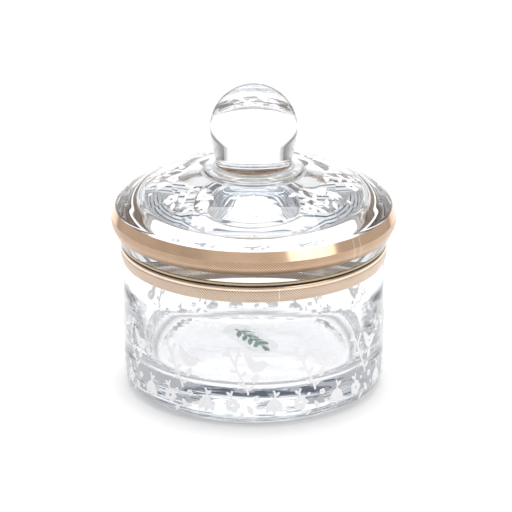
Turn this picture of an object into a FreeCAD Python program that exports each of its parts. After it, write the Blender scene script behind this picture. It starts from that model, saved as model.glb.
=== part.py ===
import FreeCAD, Part
import math
import os

# A lidded jar of thick clear pressed glass: a round bowl, a domed lid with a hot-fused ball knob,
# a fired gold band on each rim, a white enamel border of birds and twigs on the bowl and on the lid,
# and a small clear label with a green leaf under the base.
# Millimetres, +Z up. The origin is the centre of the foot, on the table.

# ---- driving dimensions -------------------------------------------------------------------------
BOWL_RADIUS = 52.5          # outside of the wall below the rim
BOWL_HEIGHT = 60.0          # table to the top of the rim
FOOT_WALL_RADIUS = 52.0     # outside of the wall, drawn down to the table
HEEL_ROUNDING = 6.2
WALL_BEND_HEIGHT = 40.0     # very soft bend between the drawn-in foot and the straight wall
WALL_BEND_ROUNDING = 60.0
LIP_RADIUS = 53.3           # the rim stands a little proud of the wall
LIP_DEPTH = 5.0
RIM_GROOVE_TOP = 1.95       # fine groove round the rim, measured down from its top
RIM_GROOVE_WIDTH = 0.5
RIM_GROOVE_DEPTH = 0.3
MOUTH_RADIUS = 49.4
THIN_WALL_BOTTOM = 44.0     # below this height the wall thickens down to the floor
THIN_WALL_ROUNDING = 24.0
FLOOR_RADIUS = 45.5         # inside of the wall, drawn down to the floor
FLOOR_HEIGHT = 13.4
FLOOR_ROUNDING = 7.8
RECESS_RADIUS = 37.0        # shallow hollow under the base, with a sloping border
RECESS_BORDER = 4.0
RECESS_DEPTH = 0.8

LID_RADIUS = 56.9           # widest place, the crease in the lid's gold band
CREASE_HEIGHT = 71.2
SEAT_GAP = 0.15             # clear of the gold on both rims
FLANGE_RADIUS = 48.4        # ring under the lid that keeps it centred in the mouth
FLANGE_BORE_RADIUS = 45.4
FLANGE_DEPTH = 4.0
CEILING_HEIGHT = 75.1       # middle of the shallow hollow under the lid
CEILING_RADIUS = 30.0       # the ceiling slopes down more steeply outside this radius
CEILING_FALL = 1.5          # drop of the ceiling from its middle to that radius
CEILING_EDGE_HEIGHT = 71.8

DOME_RADIUS = 35.0          # the dome flattens inside this radius
DOME_HEIGHT = 86.8
DOME_ROUNDING = 40.0
COLLAR_RADIUS = 19.7        # raised ring of glass round the foot of the knob
COLLAR_BOTTOM = 89.1
COLLAR_HEIGHT = 90.9
BOSS_RADIUS = 15.1          # neck of the knob where it is fused to the lid
BOSS_HEIGHT = 93.2
BALL_RADIUS = 17.6
BALL_HEIGHT = 107.0         # centre of the ball
NECK_TAPER_DEG = 12.5

GOLD_THICKNESS = 0.04
BOWL_BAND_BOTTOM = 53.1
BOWL_BAND_INNER_RADIUS = 50.8
LID_BAND_BOTTOM = 66.0
LID_BAND_TOP = 75.1
SEAT_BAND_TOP = 62.0         # narrow second gold line round the lid's lower edge
SEAT_BAND_INNER_RADIUS = 51.6

ENAMEL_GAP = 0.03           # keeps each film just clear of the glass it is fired onto
ENAMEL_THICKNESS = 0.12
BOWL_PRINT_REPEATS = 12
BOWL_PRINT_SHIFT = 2.3      # the first repeat sits a little left of the front
LID_PRINT_REPEATS = 8
LID_PRINT_RADIUS = 44.0     # outer edge of the lid's border

LABEL_LENGTH = 30.0
LABEL_WIDTH = 13.0
LABEL_THICKNESS = 0.1
LABEL_OFFSET_X = -1.5
LABEL_OFFSET_Y = 10.0
LABEL_TURN_DEG = -53.0

FULL_TURN_DEG = 360.0
AXIS = FreeCAD.Vector(0, 0, 1)
ORIGIN = FreeCAD.Vector(0, 0, 0)


# ---- outlines and solids of revolution ----------------------------------------------------------
def corner_arc(before, corner, after, radius):
    """Arc of the given radius that rounds one corner, as start, middle and end points."""
    to_before = (before - corner).normalize()
    to_after = (after - corner).normalize()
    half_angle = to_before.getAngle(to_after) / 2
    reach = radius / math.tan(half_angle)
    bisector = (to_before + to_after).normalize()
    centre = corner + bisector * (radius / math.sin(half_angle))
    return corner + to_before * reach, centre - bisector * radius, corner + to_after * reach


def rounded_wire(corners):
    """Closed wire in the XZ plane through (x, z, rounding) corners."""
    points = [FreeCAD.Vector(x, 0, z) for x, z, _ in corners]
    stretches = []
    for index, (_, _, rounding) in enumerate(corners):
        here = points[index]
        if rounding:
            following = points[(index + 1) % len(points)]
            stretches.append(corner_arc(points[index - 1], here, following, rounding))
        else:
            stretches.append((here,))
    edges = []
    for index, stretch in enumerate(stretches):
        if len(stretch) > 1:
            edges.append(Part.Arc(*stretch).toShape())
        start_of_next = stretches[(index + 1) % len(stretches)][0]
        if stretch[-1].distanceToPoint(start_of_next) > 1e-6:
            edges.append(Part.makeLine(stretch[-1], start_of_next))
    return Part.Wire(edges)


def turned(face):
    """Solid of revolution of a face in the XZ plane."""
    return face.revolve(ORIGIN, AXIS, FULL_TURN_DEG)


def raised(corners, distance):
    """The same outline moved outward; bulging roundings grow by the distance and hollow ones shrink."""
    moved_corners = []
    for index, (x, z, rounding) in enumerate(corners):
        before_x, before_z, _ = corners[index - 1]
        after_x, after_z, _ = corners[(index + 1) % len(corners)]
        arriving = FreeCAD.Vector(x - before_x, 0, z - before_z).normalize()
        leaving = FreeCAD.Vector(after_x - x, 0, after_z - z).normalize()
        arriving_normal = FreeCAD.Vector(arriving.z, 0, -arriving.x)
        leaving_normal = FreeCAD.Vector(leaving.z, 0, -leaving.x)
        shift = (arriving_normal + leaving_normal) * (distance / (1 + arriving_normal * leaving_normal))
        bulging = leaving_normal * arriving < 0
        grown = rounding + (distance if bulging else -distance) if rounding else 0
        on_axis = x == 0
        moved_corners.append((0.0 if on_axis else x + shift.x, z + shift.z, grown))
    return moved_corners


def outline_face(corners, distance=0.0):
    """Face inside an outline, optionally moved outward."""
    return Part.Face(rounded_wire(raised(corners, distance)))


def ring_section(inner_radius, outer_radius, bottom, top):
    """Rectangle in the XZ plane."""
    corners = [
        (inner_radius, bottom, 0), (outer_radius, bottom, 0), (outer_radius, top, 0), (inner_radius, top, 0)]
    return Part.Face(rounded_wire(corners))


# ---- glass --------------------------------------------------------------------------------------
def bowl_outside():
    """Outer corners of the bowl from the foot to the rim."""
    groove_top = BOWL_HEIGHT - RIM_GROOVE_TOP
    return [
        (FOOT_WALL_RADIUS, 0.0, HEEL_ROUNDING),
        (BOWL_RADIUS, WALL_BEND_HEIGHT, WALL_BEND_ROUNDING),
        (BOWL_RADIUS, BOWL_HEIGHT - LIP_DEPTH - 1.6, 1.2),
        (LIP_RADIUS, BOWL_HEIGHT - LIP_DEPTH, 1.6),
        (LIP_RADIUS, groove_top - RIM_GROOVE_WIDTH, 0.1),
        (LIP_RADIUS - RIM_GROOVE_DEPTH, groove_top - RIM_GROOVE_WIDTH / 2, 0.1),
        (LIP_RADIUS, groove_top, 0.1),
        (LIP_RADIUS, BOWL_HEIGHT, 1.3),
    ]


def bowl_inside():
    """Inner corners of the bowl from the rim down to the floor."""
    return [
        (MOUTH_RADIUS, BOWL_HEIGHT, 1.3),
        (MOUTH_RADIUS - 0.1, THIN_WALL_BOTTOM, THIN_WALL_ROUNDING),
        (FLOOR_RADIUS, FLOOR_HEIGHT, FLOOR_ROUNDING),
        (0.0, FLOOR_HEIGHT, 0),
    ]


def make_bowl():
    recess = [
        (0.0, RECESS_DEPTH, 0),
        (RECESS_RADIUS, RECESS_DEPTH, 12.0),
        (RECESS_RADIUS + RECESS_BORDER, 0.0, 0.6),
    ]
    return turned(outline_face(recess + bowl_outside() + bowl_inside()))


def lid_outside():
    """Outer corners of the lid from the seat to the boss that carries the knob, past its collar."""
    seat_height = BOWL_HEIGHT + SEAT_GAP
    return [
        (BOWL_RADIUS + 0.8, seat_height, 0.8),
        (LID_RADIUS, CREASE_HEIGHT - 2.6, 2.4),
        (LID_RADIUS, CREASE_HEIGHT, 0.25),
        (LID_RADIUS - 1.8, CREASE_HEIGHT + 4.4, 3.0),
        (LID_RADIUS - 5.4, CREASE_HEIGHT + 7.4, 10.0),
        (DOME_RADIUS, DOME_HEIGHT, DOME_ROUNDING),
        (COLLAR_RADIUS + 0.6, COLLAR_BOTTOM, 1.4),
        (COLLAR_RADIUS, COLLAR_HEIGHT, 1.0),
        (BOSS_RADIUS + 0.5, COLLAR_HEIGHT + 0.3, 1.2),
        (BOSS_RADIUS, BOSS_HEIGHT, 0),
        (0.0, BOSS_HEIGHT, 0),
    ]


def lid_inside():
    """Corners of the hollow under the lid, and of the flange that drops into the mouth."""
    seat_height = BOWL_HEIGHT + SEAT_GAP
    flange_bottom = seat_height - FLANGE_DEPTH
    return [
        (0.0, CEILING_HEIGHT, 0),
        (CEILING_RADIUS, CEILING_HEIGHT - CEILING_FALL, 3.5),
        (FLANGE_BORE_RADIUS - 0.2, CEILING_EDGE_HEIGHT, 6.0),
        (FLANGE_BORE_RADIUS, flange_bottom, 1.0),
        (FLANGE_RADIUS, flange_bottom, 1.0),
        (FLANGE_RADIUS, seat_height, 0.4),
    ]


def make_lid():
    return turned(outline_face(lid_inside() + lid_outside()))


def make_knob():
    """Solid ball on a tapered neck; the neck's side runs tangent into the ball."""
    taper = math.radians(NECK_TAPER_DEG)
    tangent_radius = BALL_RADIUS * math.cos(taper)
    tangent_height = BALL_HEIGHT - BALL_RADIUS * math.sin(taper)
    neck_top = FreeCAD.Vector(tangent_radius, 0, tangent_height)
    neck_bottom = FreeCAD.Vector(BOSS_RADIUS, 0, BOSS_HEIGHT)
    top = FreeCAD.Vector(0, 0, BALL_HEIGHT + BALL_RADIUS)
    shoulder_angle = math.radians(45)
    shoulder = FreeCAD.Vector(
        BALL_RADIUS * math.cos(shoulder_angle), 0, BALL_HEIGHT + BALL_RADIUS * math.sin(shoulder_angle))
    fused_centre = FreeCAD.Vector(0, 0, BOSS_HEIGHT)
    edges = [
        Part.makeLine(fused_centre, neck_bottom),
        Part.makeLine(neck_bottom, neck_top),
        Part.Arc(neck_top, shoulder, top).toShape(),
        Part.makeLine(top, fused_centre),
    ]
    return turned(Part.Face(Part.Wire(edges)))


# ---- gold bands ---------------------------------------------------------------------------------
def gilded(outside_corners, keep):
    """Gold film on the outside of a turned piece, inside the ring section keep."""
    film = outline_face(outside_corners, GOLD_THICKNESS).cut(outline_face(outside_corners))
    return turned(film.common(keep))


def make_bowl_gold_band():
    """Gold from the lower line of the rim over its top."""
    axis_corners = [(0.0, BOWL_HEIGHT, 0), (0.0, 0.0, 0)]
    outside = bowl_outside() + [(MOUTH_RADIUS, BOWL_HEIGHT, 0)] + axis_corners
    keep = ring_section(BOWL_BAND_INNER_RADIUS, LID_RADIUS, BOWL_BAND_BOTTOM, BOWL_HEIGHT + 1)
    return gilded(outside, keep)


def make_lid_gold_band():
    """Gold round the widest part of the lid, over its crease, and a narrow line round its lower edge."""
    outside = lid_outside() + [(0.0, BOWL_HEIGHT + SEAT_GAP, 0)]
    wide = ring_section(BOWL_BAND_INNER_RADIUS, LID_RADIUS + 1, LID_BAND_BOTTOM, LID_BAND_TOP)
    narrow = ring_section(SEAT_BAND_INNER_RADIUS, LID_RADIUS, BOWL_HEIGHT, SEAT_BAND_TOP)
    return Part.makeCompound([gilded(outside, wide), gilded(outside, narrow)])


# ---- white enamel border ------------------------------------------------------------------------
# Each motif is drawn flat, as faces in the XY plane with Y up the object, then pressed onto the glass.
def flat_face(edges):
    """Face in the XY plane, facing +Z, inside the given edges."""
    face = Part.Face(Part.Wire(Part.__sortEdges__(edges)))
    if face.normalAt(0, 0).z > 0:
        return face
    backwards = [edge.reversed() for edge in reversed(face.OuterWire.OrderedEdges)]
    return Part.Face(Part.Plane(), Part.Wire(backwards))


def leaf(x, y, length, width, turn_deg):
    """Pointed leaf whose stalk end is at (x, y), bounded by two arcs."""
    stalk = FreeCAD.Vector(0, 0, 0)
    tip = FreeCAD.Vector(length, 0, 0)
    sides = [
        Part.Arc(stalk, FreeCAD.Vector(length / 2, side * width / 2, 0), tip).toShape() for side in (1, -1)]
    face = flat_face(sides)
    face.rotate(ORIGIN, AXIS, turn_deg)
    face.translate(FreeCAD.Vector(x, y, 0))
    return face


def berry(x, y, radius):
    """Round dot."""
    return flat_face([Part.makeCircle(radius, FreeCAD.Vector(x, y, 0))])


def smooth_face(points):
    """Face inside a closed smooth curve through (x, y) points."""
    curve = Part.BSplineCurve()
    curve.interpolate([FreeCAD.Vector(x, y, 0) for x, y in points], PeriodicFlag=True)
    return flat_face([curve.toShape()])


def stem(points, width):
    """Ribbon of the given width along a smooth curve through (x, y) points."""
    curve = Part.BSplineCurve()
    curve.interpolate([FreeCAD.Vector(x, y, 0) for x, y in points])
    steps = 8
    left = []
    right = []
    for step in range(steps + 1):
        at = curve.FirstParameter + (curve.LastParameter - curve.FirstParameter) * step / steps
        along = FreeCAD.Vector(curve.tangent(at)[0])
        across = FreeCAD.Vector(-along.y, along.x, 0) * (width / 2)
        left.append(curve.value(at) + across)
        right.append(curve.value(at) - across)
    sides = []
    for side in (left, right):
        side_curve = Part.BSplineCurve()
        side_curve.interpolate(side)
        sides.append(side_curve.toShape())
    ends = [Part.makeLine(left[0], right[0]), Part.makeLine(left[-1], right[-1])]
    return flat_face(sides + ends)


def merged(shapes):
    """One flat shape from overlapping flat shapes."""
    faces = [face for shape in shapes for face in shape.Faces]
    return faces[0].multiFuse(faces[1:]).removeSplitter()


def moved(shape, x, y):
    """The shape, shifted in its own plane."""
    shape.translate(FreeCAD.Vector(x, y, 0))
    return shape


def bird(x, y, size, turn_deg):
    """Small plain songbird: a plump body with a raised tail, a short beak and one round opening."""
    body = smooth_face([
        (0.02, 0.10), (0.16, -0.18), (0.44, -0.36), (0.74, -0.26), (0.94, 0.04),
        (0.92, 0.24), (0.76, 0.30), (0.58, 0.22), (0.40, 0.18), (0.18, 0.24)])
    tail = smooth_face([(0.18, 0.02), (0.24, 0.22), (-0.02, 0.40), (-0.20, 0.46), (-0.14, 0.26)])
    beak = leaf(0.86, 0.17, 0.24, 0.12, -8)
    shape = merged([body, tail, beak]).cut(berry(0.52, -0.03, 0.055))
    shape.scale(size)
    shape.rotate(ORIGIN, AXIS, turn_deg)
    return moved(shape, x, y)


def bell_flower(x, y, size):
    """Bell-shaped flower head hanging from (x, y), with a three-pointed edge."""
    petals = [leaf(x, y, size, size * 0.42, -90 + spread) for spread in (-27, 0, 27)]
    return merged(petals + [berry(x, y - size * 0.40, size * 0.27)])


def star_flower(x, y, radius):
    """Five round petals with an open centre."""
    petals = []
    for index in range(5):
        angle = 2 * math.pi * index / 5
        reach = 0.58 * radius
        petals.append(berry(x + reach * math.cos(angle), y + reach * math.sin(angle), 0.46 * radius))
    return merged(petals).cut(berry(x, y, 0.22 * radius))


def twig(reach, rise, leaf_length):
    """Curved stem that leans left and forks at its top, with leaves on alternate sides."""
    stem_points = [(0, 0), (-0.14 * reach, 0.20 * rise), (-0.48 * reach, 0.52 * rise),
                   (-0.66 * reach, 0.72 * rise), (-reach, rise)]
    fork_points = [(-0.62 * reach, 0.66 * rise), (-0.58 * reach, 0.84 * rise), (-0.46 * reach, 0.98 * rise)]
    leaf_width = 0.44 * leaf_length
    leaf_places = [
        (-0.02, 0.10, 40), (-0.14, 0.20, 158), (-0.36, 0.42, 48), (-0.52, 0.54, 172), (-0.90, 0.93, 170)]
    leaves = [
        leaf(across * reach, up * rise, leaf_length, leaf_width, turn) for across, up, turn in leaf_places]
    tips = [berry(-reach, rise, 0.25 * leaf_length), berry(-0.46 * reach, 0.98 * rise, 0.22 * leaf_length)]
    width = 0.28 * leaf_length
    return merged([stem(stem_points, width), stem(fork_points, width)] + tips + leaves)


def bowl_motif():
    """One repeat of the bowl's border, centred on x = 0; y is the height above the table."""
    hanging = merged([
        bell_flower(10.4, 12.2, 6.8), stem([(10.4, 11.6), (10.8, 13.6), (10.0, 15.6)], 0.8),
        leaf(10.5, 13.0, 2.8, 1.3, 40)])
    standing = merged([
        star_flower(-6.0, 9.2, 2.9), stem([(-6.0, 11.2), (-6.6, 13.4), (-6.0, 15.4)], 0.8),
        leaf(-6.4, 13.0, 2.8, 1.3, 140)])
    return [
        moved(twig(8.2, 17.6, 3.2), 0.2, 14.0),
        bird(-0.6, 27.6, 8.4, -14),
        hanging,
        standing,
        leaf(2.2, 18.9, 4.6, 2.3, 68),
        leaf(2.0, 5.4, 4.4, 2.0, 118),
        star_flower(3.4, 12.4, 1.3),
        leaf(-3.4, 3.2, 3.4, 1.6, 60),
        berry(-2.6, 12.6, 0.7),
        berry(5.2, 8.2, 0.7),
    ]


def lid_motif():
    """One repeat of the lid's border; y runs from the border's outer edge toward the axis."""
    return [
        moved(twig(6.4, 13.0, 4.2), 0.4, 2.6),
        bird(0.4, 13.4, 8.2, -14),
        bell_flower(8.2, 10.6, 5.8),
        star_flower(-7.4, 5.4, 2.9),
        leaf(3.0, 1.0, 4.4, 2.0, 62),
        leaf(-2.2, 0.8, 4.2, 1.9, 128),
        berry(12.0, 3.0, 0.9),
        berry(3.6, 9.6, 0.8),
    ]


def repeated(solids, count):
    """Compound of all solids, repeated evenly round the axis."""
    copies = []
    for index in range(count):
        for solid in solids:
            turned_copy = solid.copy()
            turned_copy.rotate(ORIGIN, AXIS, FULL_TURN_DEG * index / count)
            copies.append(turned_copy)
    return Part.makeCompound(copies)


def pressed(faces, depth, outside_corners):
    """Enamel solids where flat motif faces, pushed along depth, meet the outside of a turned piece."""
    enamel_top = turned(outline_face(outside_corners, ENAMEL_GAP + ENAMEL_THICKNESS))
    enamel_bottom = turned(outline_face(outside_corners, ENAMEL_GAP))
    solids = []
    for face in faces:
        solids += face.extrude(depth).common(enamel_top).cut(enamel_bottom).Solids
    return solids


def make_bowl_print():
    """Border on the outside of the wall, from the heel to just over half the height."""
    outside = bowl_outside() + [(0.0, BOWL_HEIGHT, 0), (0.0, 0.0, 0)]
    faces = bowl_motif()
    for face in faces:
        face.rotate(ORIGIN, FreeCAD.Vector(1, 0, 0), 90)
        face.translate(FreeCAD.Vector(-BOWL_PRINT_SHIFT, -BOWL_RADIUS - 1, 0))
    inward = FreeCAD.Vector(0, BOWL_RADIUS - RECESS_RADIUS, 0)
    return repeated(pressed(faces, inward, outside), BOWL_PRINT_REPEATS)


def make_lid_print():
    """Border on the dome between the knob and the gold band."""
    outside = lid_outside() + [(0.0, BOWL_HEIGHT + SEAT_GAP, 0)]
    faces = lid_motif()
    for face in faces:
        face.translate(FreeCAD.Vector(0, -LID_PRINT_RADIUS, CREASE_HEIGHT))
    upward = FreeCAD.Vector(0, 0, BOSS_HEIGHT - CREASE_HEIGHT)
    return repeated(pressed(faces, upward, outside), LID_PRINT_REPEATS)


# ---- label --------------------------------------------------------------------------------------
def placed_label(face, underside_height, thickness):
    """Solid label piece, turned and moved to its place in the recess under the base."""
    solid = face.extrude(AXIS * thickness)
    solid.rotate(ORIGIN, AXIS, LABEL_TURN_DEG)
    solid.translate(FreeCAD.Vector(LABEL_OFFSET_X, LABEL_OFFSET_Y, underside_height))
    return solid


def make_base_label():
    """Clear film with round ends, stuck to the recess."""
    half_straight = (LABEL_LENGTH - LABEL_WIDTH) / 2
    half_width = LABEL_WIDTH / 2
    ends = [
        Part.Arc(
            FreeCAD.Vector(side * half_straight, -half_width, 0),
            FreeCAD.Vector(side * LABEL_LENGTH / 2, 0, 0),
            FreeCAD.Vector(side * half_straight, half_width, 0)).toShape() for side in (1, -1)]
    sides = [
        Part.makeLine(
            FreeCAD.Vector(-half_straight, side * half_width, 0),
            FreeCAD.Vector(half_straight, side * half_width, 0)) for side in (1, -1)]
    outline = Part.Face(Part.Wire(Part.__sortEdges__(ends + sides)))
    return placed_label(outline, RECESS_DEPTH - 0.02 - LABEL_THICKNESS, LABEL_THICKNESS)


def make_label_print():
    """Green sprig: a stem with paired leaves, on the underside of the film."""
    sprig = [stem([(-10.5, 0), (-2, 0.7), (9, 0)], 0.7), leaf(8.6, 0, 4.6, 2.4, 0)]
    for x in (-8, -4, 0, 4):
        sprig.append(leaf(x, 0.3, 5.2, 2.3, 42))
        sprig.append(leaf(x, 0.3, 5.2, 2.3, -42))
    print_bottom = RECESS_DEPTH - 0.04 - 2 * LABEL_THICKNESS
    return placed_label(merged(sprig), print_bottom, LABEL_THICKNESS)


# ---- sub-parts ----------------------------------------------------------------------------------
SUB_PARTS = {
    "bowl": make_bowl,
    "bowl_gold_band": make_bowl_gold_band,
    "bowl_print": make_bowl_print,
    "base_label": make_base_label,
    "label_print": make_label_print,
    "lid": make_lid,
    "lid_gold_band": make_lid_gold_band,
    "lid_print": make_lid_print,
    "lid_knob": make_knob,
}

os.makedirs("parts", exist_ok=True)
for node, make in SUB_PARTS.items():
    shape = make()
    shape.exportStep(f"parts/{node}.step")
    print(node, len(shape.Solids), "solids", round(shape.Volume, 1), "mm3", "valid", shape.isValid())
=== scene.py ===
import math

import bpy
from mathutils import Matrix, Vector


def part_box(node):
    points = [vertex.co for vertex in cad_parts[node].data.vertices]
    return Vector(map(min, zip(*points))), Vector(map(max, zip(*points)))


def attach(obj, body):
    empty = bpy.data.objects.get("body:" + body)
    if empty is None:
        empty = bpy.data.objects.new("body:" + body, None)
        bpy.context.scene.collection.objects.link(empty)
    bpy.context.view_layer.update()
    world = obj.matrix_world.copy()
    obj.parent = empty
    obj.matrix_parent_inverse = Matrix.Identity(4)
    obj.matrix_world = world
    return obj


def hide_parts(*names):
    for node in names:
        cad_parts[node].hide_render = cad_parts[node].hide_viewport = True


# A lidded glass dish: clear pressed glass, fired gold bands, white enamel birds and twigs, and a clear
# label with a green sprig under the base. Turned outlines are given in millimetres, as (radius, height)
# corners with a rounding; everything placed in the scene is in metres.

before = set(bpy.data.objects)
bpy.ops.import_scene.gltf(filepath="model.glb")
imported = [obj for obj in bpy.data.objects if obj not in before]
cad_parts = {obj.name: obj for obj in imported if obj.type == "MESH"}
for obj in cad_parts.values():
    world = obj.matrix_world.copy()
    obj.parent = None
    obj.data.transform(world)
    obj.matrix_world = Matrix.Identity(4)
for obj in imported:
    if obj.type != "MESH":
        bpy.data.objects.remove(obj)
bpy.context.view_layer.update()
MM = 0.001


# ---- sizes read from the frame, in millimetres --------------------------------------------------
def box_mm(node):
    """Lowest and highest corners of a CAD node in millimetres."""
    low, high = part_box(node)
    return low / MM, high / MM


_, BOWL_HIGH = box_mm("bowl")
LID_LOW, LID_HIGH = box_mm("lid")
_, KNOB_HIGH = box_mm("lid_knob")
BOWL_BAND_LOW, _ = box_mm("bowl_gold_band")
_, LID_BAND_HIGH = box_mm("lid_gold_band")

LIP_RADIUS = BOWL_HIGH.x
BOWL_RADIUS = LIP_RADIUS - 0.8
BOWL_HEIGHT = BOWL_HIGH.z
FOOT_WALL_RADIUS = BOWL_RADIUS - 0.5
HEEL_ROUNDING = 6.2
WALL_BEND_HEIGHT = 40.0
WALL_BEND_ROUNDING = 60.0
LIP_DEPTH = 5.0
RIM_GROOVE_TOP = 1.95       # fine groove round the rim, measured down from its top
RIM_GROOVE_WIDTH = 0.5
RIM_GROOVE_DEPTH = 0.3
MOUTH_RADIUS = BOWL_RADIUS - 3.1
THIN_WALL_BOTTOM = 44.0
THIN_WALL_ROUNDING = 24.0
FLOOR_RADIUS = BOWL_RADIUS - 7.0
FLOOR_HEIGHT = 13.4
FLOOR_ROUNDING = 7.8
RECESS_RADIUS = 37.0
RECESS_BORDER = 4.0
RECESS_DEPTH = 0.8

LID_RADIUS = LID_HIGH.x
SEAT_HEIGHT = BOWL_HEIGHT + 0.15
CREASE_HEIGHT = BOWL_HEIGHT + 11.2
LID_BAND_BOTTOM = CREASE_HEIGHT - 5.2
SEAT_BAND_TOP = BOWL_HEIGHT + 2.0
DOME_RADIUS = 35.0
DOME_HEIGHT = 86.8
DOME_ROUNDING = 40.0
COLLAR_RADIUS = 19.7
COLLAR_BOTTOM = 89.1
COLLAR_HEIGHT = 90.9
NECK_FOOT_RADIUS = 14.7
FLANGE_BOTTOM = LID_LOW.z
FLANGE_RADIUS = MOUTH_RADIUS - 1.0
FLANGE_BORE_RADIUS = FLANGE_RADIUS - 3.0
CEILING_HEIGHT = 75.1
CEILING_RADIUS = 30.0
CEILING_FALL = 1.5
CEILING_EDGE_HEIGHT = 71.8

BALL_RADIUS = KNOB_HIGH.x
BALL_HEIGHT = KNOB_HIGH.z - BALL_RADIUS
NECK_TAPER = math.radians(12.5)

TURN_STEPS = 360
ARC_STEP = math.radians(4)


# ---- turned shapes ------------------------------------------------------------------------------
def corner_arc(before, corner, after, radius):
    """Points along the arc that rounds one corner."""
    to_before = (before - corner).normalized()
    to_after = (after - corner).normalized()
    half_angle = to_before.angle(to_after) / 2
    bisector = (to_before + to_after).normalized()
    centre = corner + bisector * (radius / math.sin(half_angle))
    start = corner + to_before * (radius / math.tan(half_angle)) - centre
    sweep = math.pi - 2 * half_angle
    if start.x * to_before.y - start.y * to_before.x > 0:
        sweep = -sweep
    count = max(2, round(abs(sweep) / ARC_STEP))
    points = []
    for step in range(count + 1):
        angle = sweep * step / count
        turned = Vector((
            start.x * math.cos(angle) - start.y * math.sin(angle),
            start.x * math.sin(angle) + start.y * math.cos(angle)))
        points.append(centre + turned)
    return points


def outline(corners):
    """Outline points of (radius, height, rounding) corners; each corner without rounding stays sharp."""
    places = [Vector((x, z)) for x, z, _ in corners]
    points = []
    for index, (_, _, rounding) in enumerate(corners):
        if rounding:
            after = places[(index + 1) % len(places)]
            points += corner_arc(places[index - 1], places[index], after, rounding)
        else:
            points.append(places[index])
    return points


def lathe(name, points, material, body, closed=True):
    """Smooth turned mesh of an outline in the (radius, height) plane, in millimetres."""
    vertices = []
    rings = []
    for point in points:
        if point.x < 1e-6:
            rings.append([len(vertices)] * TURN_STEPS)
            vertices.append((0.0, 0.0, point.y * MM))
            continue
        rings.append(list(range(len(vertices), len(vertices) + TURN_STEPS)))
        for step in range(TURN_STEPS):
            angle = 2 * math.pi * step / TURN_STEPS
            vertices.append((point.x * MM * math.cos(angle), point.x * MM * math.sin(angle), point.y * MM))
    faces = []
    last = len(rings) if closed else len(rings) - 1
    for index in range(last):
        lower = rings[index]
        upper = rings[(index + 1) % len(rings)]
        for step in range(TURN_STEPS):
            following = (step + 1) % TURN_STEPS
            corners = [lower[step], lower[following], upper[following], upper[step]]
            distinct = list(dict.fromkeys(corners))
            if len(distinct) > 2:
                faces.append(distinct)
    mesh = bpy.data.meshes.new(name)
    mesh.from_pydata(vertices, [], faces)
    mesh.validate()
    mesh.shade_smooth()
    mesh.materials.append(material)
    piece = bpy.data.objects.new(name, mesh)
    bpy.context.scene.collection.objects.link(piece)
    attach(piece, body)
    return piece


# ---- outlines of the two glass pieces -----------------------------------------------------------
def bowl_outside():
    groove_top = BOWL_HEIGHT - RIM_GROOVE_TOP
    return [
        (FOOT_WALL_RADIUS, 0.0, HEEL_ROUNDING),
        (BOWL_RADIUS, WALL_BEND_HEIGHT, WALL_BEND_ROUNDING),
        (BOWL_RADIUS, BOWL_HEIGHT - LIP_DEPTH - 1.6, 1.2),
        (LIP_RADIUS, BOWL_HEIGHT - LIP_DEPTH, 1.6),
        (LIP_RADIUS, groove_top - RIM_GROOVE_WIDTH, 0.1),
        (LIP_RADIUS - RIM_GROOVE_DEPTH, groove_top - RIM_GROOVE_WIDTH / 2, 0.1),
        (LIP_RADIUS, groove_top, 0.1),
        (LIP_RADIUS, BOWL_HEIGHT, 1.3),
        (MOUTH_RADIUS, BOWL_HEIGHT, 1.3),
    ]


def bowl_outline():
    recess = [
        (0.0, RECESS_DEPTH, 0),
        (RECESS_RADIUS, RECESS_DEPTH, 12.0),
        (RECESS_RADIUS + RECESS_BORDER, 0.0, 0.6),
    ]
    inside = [
        (MOUTH_RADIUS - 0.1, THIN_WALL_BOTTOM, THIN_WALL_ROUNDING),
        (FLOOR_RADIUS, FLOOR_HEIGHT, FLOOR_ROUNDING),
        (0.0, FLOOR_HEIGHT, 0),
    ]
    return recess + bowl_outside() + inside


def lid_outside():
    tangent_radius = BALL_RADIUS * math.cos(NECK_TAPER)
    tangent_height = BALL_HEIGHT - BALL_RADIUS * math.sin(NECK_TAPER)
    return [
        (BOWL_RADIUS + 0.8, SEAT_HEIGHT, 0.8),
        (LID_RADIUS, CREASE_HEIGHT - 2.6, 2.4),
        (LID_RADIUS, CREASE_HEIGHT, 0.25),
        (LID_RADIUS - 1.8, CREASE_HEIGHT + 4.4, 3.0),
        (LID_RADIUS - 5.4, CREASE_HEIGHT + 7.4, 10.0),
        (DOME_RADIUS, DOME_HEIGHT, DOME_ROUNDING),
        (COLLAR_RADIUS + 0.6, COLLAR_BOTTOM, 1.4),
        (COLLAR_RADIUS, COLLAR_HEIGHT, 1.0),
        (NECK_FOOT_RADIUS, COLLAR_HEIGHT + 0.3, 1.6),
        (tangent_radius, tangent_height, 0),
    ]


def lid_inside():
    return [
        (0.0, CEILING_HEIGHT, 0),
        (CEILING_RADIUS, CEILING_HEIGHT - CEILING_FALL, 3.5),
        (FLANGE_BORE_RADIUS - 0.2, CEILING_EDGE_HEIGHT, 6.0),
        (FLANGE_BORE_RADIUS, FLANGE_BOTTOM, 1.0),
        (FLANGE_RADIUS, FLANGE_BOTTOM, 1.0),
        (FLANGE_RADIUS, SEAT_HEIGHT, 0.4),
    ]


def ball_points():
    """From the top of the neck over the ball to its crown."""
    start = -NECK_TAPER
    sweep = math.pi / 2 - start
    count = round(sweep / ARC_STEP)
    points = []
    for step in range(1, count + 1):
        angle = start + sweep * step / count
        radius = BALL_RADIUS * math.cos(angle) if step < count else 0.0
        points.append(Vector((radius, BALL_HEIGHT + BALL_RADIUS * math.sin(angle))))
    return points


def lid_points():
    return outline(lid_inside() + lid_outside()) + ball_points()


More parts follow.
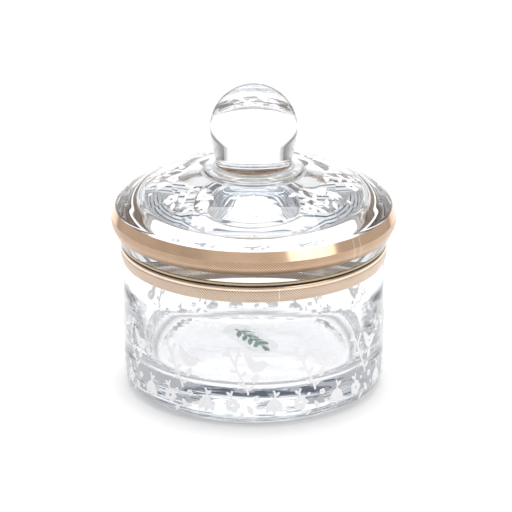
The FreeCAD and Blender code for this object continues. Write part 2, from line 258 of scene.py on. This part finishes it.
# ---- material helpers ---------------------------------------------------------------------------
def new_material(name):
    """Empty node material; returns it with its tree and output node."""
    material = bpy.data.materials.new(name)
    material.use_nodes = True
    tree = material.node_tree
    tree.nodes.clear()
    return material, tree, tree.nodes.new("ShaderNodeOutputMaterial")


def node(tree, kind, settings=None, inputs=None, **links):
    """New node; settings are properties, inputs are values by name, links are sockets by name."""
    made = tree.nodes.new(kind)
    for name, value in (settings or {}).items():
        setattr(made, name, value)
    for name, value in (inputs or {}).items():
        made.inputs[name].default_value = value
    for name, socket in links.items():
        tree.links.new(socket, made.inputs[name.replace("_", " ")])
    return made


def compute(tree, operation, *terms):
    """Result of a math node; each term is a socket or a number."""
    made = node(tree, "ShaderNodeMath", {"operation": operation})
    for index, term in enumerate(terms):
        if isinstance(term, bpy.types.NodeSocket):
            tree.links.new(term, made.inputs[index])
        else:
            made.inputs[index].default_value = term
    return made.outputs[0]


def product(tree, *terms):
    """Product of sockets and numbers."""
    total = terms[0]
    for term in terms[1:]:
        total = compute(tree, "MULTIPLY", total, term)
    return total


def opposite(tree, value):
    """One minus a value."""
    return compute(tree, "SUBTRACT", 1.0, value)


def mixed_colour(tree, amount, first, second):
    """Colour that runs from first to second with the amount; each is a socket or a colour."""
    made = node(tree, "ShaderNodeMix", {"data_type": "RGBA"})
    tree.links.new(amount, made.inputs["Factor"])
    for name, colour in (("A", first), ("B", second)):
        if isinstance(colour, bpy.types.NodeSocket):
            tree.links.new(colour, made.inputs[name])
        else:
            made.inputs[name].default_value = colour
    return made.outputs["Result"]


def mixed_shader(tree, amount, first, second):
    """Shader that runs from first to second with the amount."""
    made = node(tree, "ShaderNodeMixShader", Fac=amount)
    tree.links.new(first, made.inputs[1])
    tree.links.new(second, made.inputs[2])
    return made.outputs[0]


def object_place(tree):
    """Position on the piece in metres, as X, Y and Z outputs."""
    place = node(tree, "ShaderNodeTexCoord")
    return node(tree, "ShaderNodeSeparateXYZ", Vector=place.outputs["Object"]).outputs


def fade(tree, value, start, end, start_level, end_level):
    """Smooth change of level while the value runs from start to end."""
    made = node(
        tree, "ShaderNodeMapRange", {"interpolation_type": "SMOOTHSTEP"},
        {"From Min": start, "From Max": end, "To Min": start_level, "To Max": end_level}, Value=value)
    return made.outputs[0]


def object_noise(tree, scale, detail=2.0, stretch=(1, 1, 1)):
    """Noise value fixed to the piece; scale is in features per metre."""
    place = node(tree, "ShaderNodeTexCoord")
    mapping = node(tree, "ShaderNodeMapping", inputs={"Scale": stretch}, Vector=place.outputs["Object"])
    noise = node(
        tree, "ShaderNodeTexNoise", inputs={"Scale": scale, "Detail": detail},
        Vector=mapping.outputs["Vector"])
    return noise.outputs["Fac"]


def bump(tree, height, strength, distance):
    made = node(
        tree, "ShaderNodeBump", inputs={"Strength": strength, "Distance": distance}, Height=height)
    return made.outputs["Normal"]


# ---- materials ----------------------------------------------------------------------------------
LIGHT_PASSED = (0.72, 0.72, 0.72, 1)     # glass passes this share of shadow and diffuse rays
GLASS_TINT = (0.87, 0.905, 0.94, 1)
TINT_DENSITY = 12.0
HEEL_STREAKS = 6.0          # the streaks deepen this many times round the foot
HEEL_TOP = 0.014            # they start to deepen at this height, in metres
HEEL_MIDDLE = 0.009         # and are deepest from here down
HATCH_SPACING = 0.0011
HATCH_WOBBLE = 5.0          # radians
LAP_COLOUR = (0.9, 0.8, 0.68, 1)
LAP_STRENGTH = 0.6
BRUSH_COLOUR = (0.10, 0.07, 0.05, 1)
SMOOTH_ROUGHNESS = 0.15
BRUSHED_ROUGHNESS = 0.32
# Painted shade: the gold is darkened in the crevice between lid and bowl, by how near another surface is
PAINTED_CREVICE_SHADE = (0.02, 0.012, 0.008, 1)
PAINTED_SHADE_REACH = 0.002       # painted shade: gold darkens where another surface is closer than this
PAINTED_SHADE_POWER = 5.0
# painted light: the enamel glows evenly, in place of light soaking through it
ENAMEL_PAINTED_GLOW = 0.30


def glass_material(name, streaks):
    """Clear pressed glass: faint waves and level streaks from the mould, a trace of blue where thick."""
    material, tree, output = new_material(name)
    depth = fade(tree, object_place(tree)["Z"], HEEL_TOP, HEEL_MIDDLE, streaks, streaks * HEEL_STREAKS)
    level_lines = product(tree, object_noise(tree, 50.0, detail=2.0, stretch=(1, 1, 20)), depth)
    waves = compute(tree, "ADD", object_noise(tree, 60.0, detail=1.0), level_lines)
    glass = node(
        tree, "ShaderNodeBsdfPrincipled",
        inputs={
            "Base Color": (1, 1, 1, 1), "Roughness": 0.0, "IOR": 1.5, "Transmission Weight": 1.0},
        Normal=bump(tree, waves, strength=0.05, distance=0.001))
    passing = node(tree, "ShaderNodeBsdfTransparent", inputs={"Color": LIGHT_PASSED})
    path = node(tree, "ShaderNodeLightPath").outputs
    light_only = compute(tree, "MAXIMUM", path["Is Shadow Ray"], path["Is Diffuse Ray"])
    surface = mixed_shader(tree, light_only, glass.outputs[0], passing.outputs[0])
    tree.links.new(surface, output.inputs["Surface"])
    absorption = node(
        tree, "ShaderNodeVolumeAbsorption", inputs={"Color": GLASS_TINT, "Density": TINT_DENSITY})
    tree.links.new(absorption.outputs[0], output.inputs["Volume"])
    return material


def hatching(tree, around, height, rough_part):
    """Slanted brush strokes with a grain, only on the rough part."""
    turns = product(tree, around, 2 * math.pi * LIP_RADIUS * MM / HATCH_SPACING)
    lean = product(tree, height, 2 * math.pi / HATCH_SPACING)
    wobble = product(tree, object_noise(tree, 300.0, detail=3.0), HATCH_WOBBLE)
    strokes = compute(tree, "SINE", compute(tree, "ADD", compute(tree, "ADD", turns, lean), wobble))
    return product(tree, compute(tree, "ADD", strokes, object_noise(tree, 2600.0)), rough_part)


def painted_shade_openness(tree, height):
    """Painted shade: one on open gold, falling where the other rim is close; only near the seat of the
    lid.
    """
    nearby = node(tree, "ShaderNodeAmbientOcclusion", {"samples": 8}, {"Distance": PAINTED_SHADE_REACH})
    open_sky = compute(tree, "POWER", nearby.outputs["AO"], PAINTED_SHADE_POWER)
    away = compute(tree, "ABSOLUTE", compute(tree, "SUBTRACT", height, SEAT_HEIGHT * MM))
    return compute(tree, "MAXIMUM", open_sky, fade(tree, away, 0.0015, 0.002, 0.0, 1.0))


def gold_material(name, deep, pale, smooth_above, laps):
    """Fired gold, brushed on with slanted hatching and mirror smooth above a height in metres.

    laps are the angles, in degrees to the right of the front, where the brush was set down or lifted.
    """
    material, tree, output = new_material(name)
    place = object_place(tree)
    around = compute(tree, "ARCTAN2", place["X"], product(tree, place["Y"], -1.0))
    smooth = fade(tree, place["Z"], smooth_above - 0.0002, smooth_above + 0.0002, 0.0, 1.0)
    rough_part = opposite(tree, smooth)
    grain = hatching(tree, around, place["Z"], rough_part)

    clouds = object_noise(tree, 120.0, detail=3.0)
    tone = mixed_colour(tree, compute(tree, "ADD", clouds, product(tree, grain, 0.22)), deep, pale)
    brush_depth = compute(tree, "ADD", 0.12, product(tree, grain, 0.42))
    brushed = mixed_colour(tree, product(tree, rough_part, brush_depth), tone, BRUSH_COLOUR)
    marks = 0.0
    for lap in laps:
        offset = compute(tree, "ABSOLUTE", compute(tree, "SUBTRACT", around, math.radians(lap)))
        marks = compute(tree, "MAXIMUM", marks, fade(tree, offset, 0.002, 0.006, 1.0, 0.0))
    marked = mixed_colour(tree, product(tree, marks, LAP_STRENGTH), brushed, LAP_COLOUR)

    added_roughness = product(tree, rough_part, BRUSHED_ROUGHNESS - SMOOTH_ROUGHNESS)
    gold = node(
        tree, "ShaderNodeBsdfPrincipled", inputs={"Metallic": 1.0},
        Roughness=compute(tree, "ADD", SMOOTH_ROUGHNESS, added_roughness),
        Normal=bump(tree, grain, strength=0.25, distance=0.0002))
    # painted shade: the gold runs towards the dark shade colour in the crevice at the seat
    colour = mixed_colour(tree, painted_shade_openness(tree, place["Z"]), PAINTED_CREVICE_SHADE, marked)
    tree.links.new(colour, gold.inputs["Base Color"])
    tree.links.new(gold.outputs[0], output.inputs["Surface"])
    return material


def enamel_material():
    """Fired white enamel: nearly matt, uneven, with a painted glow, an even emission that stands in for
    the light that soaks through it.
    """
    material, tree, output = new_material("white_enamel")
    patches = object_noise(tree, 900.0, detail=4.0)
    tone = mixed_colour(tree, patches, (0.44, 0.43, 0.44, 1), (0.53, 0.52, 0.53, 1))
    rough = node(tree, "ShaderNodeMapRange", inputs={"To Min": 0.45, "To Max": 0.7}, Value=patches)
    enamel = node(
        tree, "ShaderNodeBsdfPrincipled",
        inputs={"Emission Color": (1, 1, 1, 1), "Emission Strength": ENAMEL_PAINTED_GLOW},
        Roughness=rough.outputs[0], Normal=bump(tree, patches, strength=0.2, distance=0.0001))
    tree.links.new(tone, enamel.inputs["Base Color"])
    tree.links.new(enamel.outputs[0], output.inputs["Surface"])
    return material


def ink_material():
    """Green ink with a slightly broken tone."""
    material, tree, output = new_material("green_ink")
    patches = object_noise(tree, 1500.0, detail=3.0)
    tone = mixed_colour(tree, patches, (0.02, 0.26, 0.14, 1), (0.07, 0.40, 0.25, 1))
    ink = node(tree, "ShaderNodeBsdfPrincipled", inputs={"Roughness": 0.5})
    tree.links.new(tone, ink.inputs["Base Color"])
    tree.links.new(ink.outputs[0], output.inputs["Surface"])
    return material


def film_material():
    """Clear label film."""
    material, tree, output = new_material("label_film")
    clear = node(tree, "ShaderNodeBsdfTransparent", inputs={"Color": (0.97, 0.98, 0.97, 1)})
    haze = object_noise(tree, 400.0)
    gloss = node(
        tree, "ShaderNodeBsdfPrincipled", inputs={"Base Color": (0.9, 0.92, 0.9, 1), "Roughness": 0.2})
    amount = node(tree, "ShaderNodeMapRange", inputs={"To Min": 0.03, "To Max": 0.08}, Value=haze)
    surface = mixed_shader(tree, amount.outputs[0], clear.outputs[0], gloss.outputs[0])
    tree.links.new(surface, output.inputs["Surface"])
    return material


BOWL_GLASS = glass_material("bowl_glass", streaks=0.3)
LID_GLASS = glass_material("lid_glass", streaks=0.0)
LID_GOLD = gold_material(
    "champagne_gold", deep=(0.60, 0.40, 0.26, 1), pale=(0.76, 0.54, 0.38, 1),
    smooth_above=CREASE_HEIGHT * MM, laps=(44.0, 47.5))
BOWL_GOLD = gold_material(
    "pale_gold", deep=(0.67, 0.51, 0.39, 1), pale=(0.86, 0.70, 0.56, 1),
    smooth_above=BOWL_HEIGHT * MM - 0.0021, laps=(10.8,))
# Painted shade: the narrow gold at the lid's seat is painted dark and olive, for the shade and dark
# reflections under the lid's edge
SHADED_SEAT_GOLD = gold_material(
    "olive_gold_painted_shade", deep=(0.34, 0.26, 0.16, 1), pale=(0.48, 0.38, 0.25, 1),
    smooth_above=BOWL_HEIGHT * MM, laps=())
ENAMEL = enamel_material()


# ---- films on the glass -------------------------------------------------------------------------
FILM_SINK = 0.01            # films reach this far into the glass, so no air is left between
GOLD_RISE = 0.04
ENAMEL_GAP = 0.03           # the CAD border's distance from the glass
BOWL_BAND_INNER_RADIUS = 50.8
LID_BAND_INNER_RADIUS = 50.2
SEAT_BAND_INNER_RADIUS = 51.6


def normals(points):
    """Outward normals along an open outline that climbs the outside of a piece."""
    result = []
    for index in range(len(points)):
        before = points[max(index - 1, 0)]
        after = points[min(index + 1, len(points) - 1)]
        along = (after - before).normalized()
        result.append(Vector((along.y, -along.x)))
    return result


def cut_run(points, bottom, top, inner_radius):
    """The run of an outline between two heights and outside a radius, with its ends on the limits."""
    def inside(point):
        return bottom <= point.y <= top and point.x >= inner_radius

    def border(kept, dropped):
        low, high = kept, dropped
        for _ in range(40):
            middle = (low + high) / 2
            if inside(middle):
                low = middle
            else:
                high = middle
        return low

    run = []
    for here, following in zip(points, points[1:]):
        if inside(here):
            run.append(here)
            if not inside(following):
                run.append(border(here, following))
        elif inside(following):
            run.append(border(following, here))
    return run


def film(name, run, material, body):
    """Thin closed band along a run of the outline, let slightly into the glass."""
    outward = normals(run)
    outer = [point + normal * GOLD_RISE for point, normal in zip(run, outward)]
    inner = [point - normal * FILM_SINK for point, normal in zip(run, outward)]
    return lathe(name, outer + inner[::-1], material, body)


def pressed_print(cad_node, name, glass_points, body):
    """The CAD border moved in along the glass's own normals until it is bonded to the glass."""
    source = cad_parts[cad_node].data
    sink = ENAMEL_GAP + FILM_SINK
    outward = normals(glass_points)
    mesh = source.copy()
    mesh.name = name
    for vertex in mesh.vertices:
        place = Vector((math.hypot(vertex.co.x, vertex.co.y), vertex.co.z)) / MM
        nearest = min(
            range(len(glass_points)), key=lambda index: (glass_points[index] - place).length_squared)
        normal = outward[nearest]
        angle = math.atan2(vertex.co.y, vertex.co.x)
        step = Vector((normal.x * math.cos(angle), normal.x * math.sin(angle), normal.y))
        vertex.co -= step * (sink * MM)
    mesh.materials.clear()
    mesh.materials.append(ENAMEL)
    piece = bpy.data.objects.new(name, mesh)
    bpy.context.scene.collection.objects.link(piece)
    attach(piece, body)
    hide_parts(cad_node)


# ---- the dish -----------------------------------------------------------------------------------
bowl_glass = lathe("bowl_glass", outline(bowl_outline()), BOWL_GLASS, "bowl")
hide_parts("bowl")

lid_glass = lathe("lid_glass", lid_points(), LID_GLASS, "lid")
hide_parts("lid", "lid_knob")

bowl_wall = outline(bowl_outside() + [(MOUTH_RADIUS - 3, BOWL_HEIGHT, 0), (0.0, 0.0, 0)])[:-2]
lid_wall = outline(lid_outside() + [(0.0, KNOB_HIGH.z, 0), (0.0, SEAT_HEIGHT, 0)])[:-2]

rim_run = cut_run(bowl_wall, BOWL_BAND_LOW.z, BOWL_HEIGHT + 1, BOWL_BAND_INNER_RADIUS)
bowl_gold = film("bowl_gold", rim_run, BOWL_GOLD, "bowl")
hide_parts("bowl_gold_band")

wide_run = cut_run(lid_wall, LID_BAND_BOTTOM, LID_BAND_HIGH.z, LID_BAND_INNER_RADIUS)
lid_gold = film("lid_gold", wide_run, LID_GOLD, "lid")
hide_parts("lid_gold_band")

narrow_run = cut_run(lid_wall, SEAT_HEIGHT - 1, SEAT_BAND_TOP, SEAT_BAND_INNER_RADIUS)
seat_gold = film("seat_gold", narrow_run, SHADED_SEAT_GOLD, "lid")

pressed_print("bowl_print", "bowl_birds", bowl_wall, "bowl")
pressed_print("lid_print", "lid_birds", lid_wall, "lid")

for cad_node, material in (("base_label", film_material()), ("label_print", ink_material())):
    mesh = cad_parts[cad_node].data
    mesh.materials.clear()
    mesh.materials.append(material)


# ---- stage, light and camera --------------------------------------------------------------------
# Brightness of the studio, where 1 is white. Directions are unit vectors: X is sideways, Z is up.
# The values named THROUGH_GLASS hold only for rays that have just left glass. They aren't physical:
# they give the glass readable edges and streaks, and keep the floor under the base bright.
FRONT_LEVEL = 0.85          # towards the camera
FRONT_THROUGH_GLASS = 0.4
BELOW_LEVEL = 0.12          # below the table
PANEL_START = 0.45          # a panel at each side darkens between these sideways directions
PANEL_END = 0.7
PANEL_TOP = 0.45
PANEL_LEVEL = 0.7
PANEL_THROUGH_GLASS = 0.65
SLAT_SPACING = 0.09         # dark level slats, seen only through glass
SLAT_TOP = 0.5
SLAT_COLOUR = (0.07, 0.09, 0.13, 1)
BASE_FLOOR_THROUGH_GLASS = 1.15     # the floor under the base glows
OPEN_FLOOR_THROUGH_GLASS = 0.96
FRONT_FLOOR_THROUGH_GLASS = 0.8
SIDE_FLOOR_THROUGH_GLASS = 0.5
FLOOR_HALF_WIDTH = 0.6
FLOOR_FRONT = 0.3
FLOOR_BACK = 4.0
FLOOR_DROP = 0.0001         # keeps the floor just clear of the foot


def floor_material():
    """Pale matt floor; through glass it glows under the base and dims to the front and the sides."""
    material, tree, output = new_material("pale_floor")
    tone = mixed_colour(tree, object_noise(tree, 300.0), (0.955, 0.955, 0.96, 1), (0.97, 0.97, 0.975, 1))
    pale = node(tree, "ShaderNodeBsdfPrincipled", inputs={"Roughness": 0.6, "Specular IOR Level": 0.2})
    tree.links.new(tone, pale.inputs["Base Color"])
    refracted = node(tree, "ShaderNodeLightPath").outputs["Is Transmission Ray"]
    place = object_place(tree)
    squares = [compute(tree, "POWER", place[axis], 2.0) for axis in ("X", "Y")]
    radius = compute(tree, "SQRT", compute(tree, "ADD", *squares))
    under_base = fade(tree, radius, 0.042, 0.047, 1.0, 0.0)
    glow = node(
        tree, "ShaderNodeEmission",
        inputs={"Color": (0.93, 0.93, 0.95, 1), "Strength": BASE_FLOOR_THROUGH_GLASS})
    lit = mixed_shader(tree, product(tree, refracted, under_base), pale.outputs[0], glow.outputs[0])
    sideways = compute(tree, "ABSOLUTE", place["X"])
    open_floor = product(
        tree, fade(tree, place["Y"], -0.05, -0.10, OPEN_FLOOR_THROUGH_GLASS, FRONT_FLOOR_THROUGH_GLASS),
        fade(tree, sideways, 0.35, 0.55, 1.0, SIDE_FLOOR_THROUGH_GLASS))
    dark = node(tree, "ShaderNodeEmission", inputs={"Strength": 0.0})
    dimmed = product(tree, refracted, opposite(tree, open_floor))
    tree.links.new(mixed_shader(tree, dimmed, lit, dark.outputs[0]), output.inputs["Surface"])
    return material


def make_floor():
    """Wide pale floor just under the foot."""
    mesh = bpy.data.meshes.new("floor")
    corners = [
        (-FLOOR_HALF_WIDTH, -FLOOR_FRONT, -FLOOR_DROP), (FLOOR_HALF_WIDTH, -FLOOR_FRONT, -FLOOR_DROP),
        (FLOOR_HALF_WIDTH, FLOOR_BACK, -FLOOR_DROP), (-FLOOR_HALF_WIDTH, FLOOR_BACK, -FLOOR_DROP)]
    mesh.from_pydata(corners, [], [(0, 1, 2, 3)])
    mesh.materials.append(floor_material())
    floor = bpy.data.objects.new("floor", mesh)
    bpy.context.scene.collection.objects.link(floor)


def chosen_level(tree, refracted, level, level_through_glass):
    """The first level for direct rays and the second for rays that have just left glass."""
    return compute(tree, "ADD", level, product(tree, refracted, level_through_glass - level))


def make_world():
    """White studio, dimmer towards the camera, at both sides and below the table.

    The camera itself sees plain white, and only glass shows the dark slats.
    """
    world = bpy.data.worlds.new("studio")
    bpy.context.scene.world = world
    world.use_nodes = True
    tree = world.node_tree
    tree.nodes.clear()
    output = tree.nodes.new("ShaderNodeOutputWorld")
    place = node(tree, "ShaderNodeTexCoord")
    direction = node(tree, "ShaderNodeSeparateXYZ", Vector=place.outputs["Generated"]).outputs
    path = node(tree, "ShaderNodeLightPath").outputs
    refracted = path["Is Transmission Ray"]

    front_level = chosen_level(tree, refracted, FRONT_LEVEL, FRONT_THROUGH_GLASS)
    towards_camera = fade(tree, direction["Y"], 0.3, -0.8, 0.0, 1.0)
    front = opposite(tree, product(tree, towards_camera, opposite(tree, front_level)))
    below = fade(tree, direction["Z"], -0.02, -0.12, 1.0, BELOW_LEVEL)

    panel_level = chosen_level(tree, refracted, PANEL_LEVEL, PANEL_THROUGH_GLASS)
    in_panel = product(
        tree, fade(tree, compute(tree, "ABSOLUTE", direction["X"]), PANEL_START, PANEL_END, 0.0, 1.0),
        fade(tree, direction["Z"], PANEL_TOP - 0.15, PANEL_TOP + 0.15, 1.0, 0.0))
    panels = opposite(tree, product(tree, in_panel, opposite(tree, panel_level)))

    ripple = compute(tree, "SINE", product(tree, direction["Z"], 2 * math.pi / SLAT_SPACING))
    in_slat = product(
        tree, refracted, fade(tree, ripple, 0.3, 0.8, 0.0, 1.0),
        fade(tree, direction["Z"], 0.0, 0.02, 0.0, 1.0),
        fade(tree, direction["Z"], SLAT_TOP, SLAT_TOP + 0.03, 1.0, 0.0))
    tone = mixed_colour(tree, in_slat, (1, 1, 1, 1), SLAT_COLOUR)

    level = compute(tree, "MAXIMUM", product(tree, front, below, panels), path["Is Camera Ray"])
    background = node(tree, "ShaderNodeBackground", Strength=level)
    tree.links.new(tone, background.inputs["Color"])
    tree.links.new(background.outputs[0], output.inputs["Surface"])


def softbox(name, azimuth_deg, height, distance, width, tall, power):
    """Area light that faces the dish; azimuth 0 is the camera's side, 90 is +X."""
    data = bpy.data.lights.new(name, "AREA")
    data.shape = "RECTANGLE"
    data.size = width
    data.size_y = tall
    data.energy = power
    lamp = bpy.data.objects.new(name, data)
    bpy.context.scene.collection.objects.link(lamp)
    azimuth = math.radians(azimuth_deg)
    place = Vector((distance * math.sin(azimuth), -distance * math.cos(azimuth), height))
    lamp.location = place
    aim = Vector((0, 0, 0.06)) - place
    lamp.rotation_euler = aim.to_track_quat("-Z", "Y").to_euler()


def make_camera():
    """Long lens, looking down at 21 degrees."""
    elevation = math.radians(21)
    distance = 1.7
    frame_width = 0.2052
    target = Vector((0.0009, 0, 0.0524))
    data = bpy.data.cameras.new("camera")
    data.sensor_width = 36
    data.lens = data.sensor_width * distance / frame_width
    camera = bpy.data.objects.new("camera", data)
    bpy.context.scene.collection.objects.link(camera)
    camera.location = target + Vector((0, -math.cos(elevation), math.sin(elevation))) * distance
    camera.rotation_euler = (target - camera.location).to_track_quat("-Z", "Y").to_euler()
    bpy.context.scene.camera = camera


make_floor()
make_world()
softbox("key", azimuth_deg=48, height=0.55, distance=1.1, width=0.8, tall=0.5, power=2.6)
softbox("top", azimuth_deg=180, height=1.6, distance=0.3, width=1.2, tall=1.2, power=18)
make_camera()

scene = bpy.context.scene
scene.view_settings.view_transform = "Standard"
scene.cycles.max_bounces = 40
scene.cycles.transmission_bounces = 40
scene.cycles.glossy_bounces = 12
scene.cycles.transparent_max_bounces = 40
scene.cycles.caustics_refractive = False
scene.cycles.caustics_reflective = False
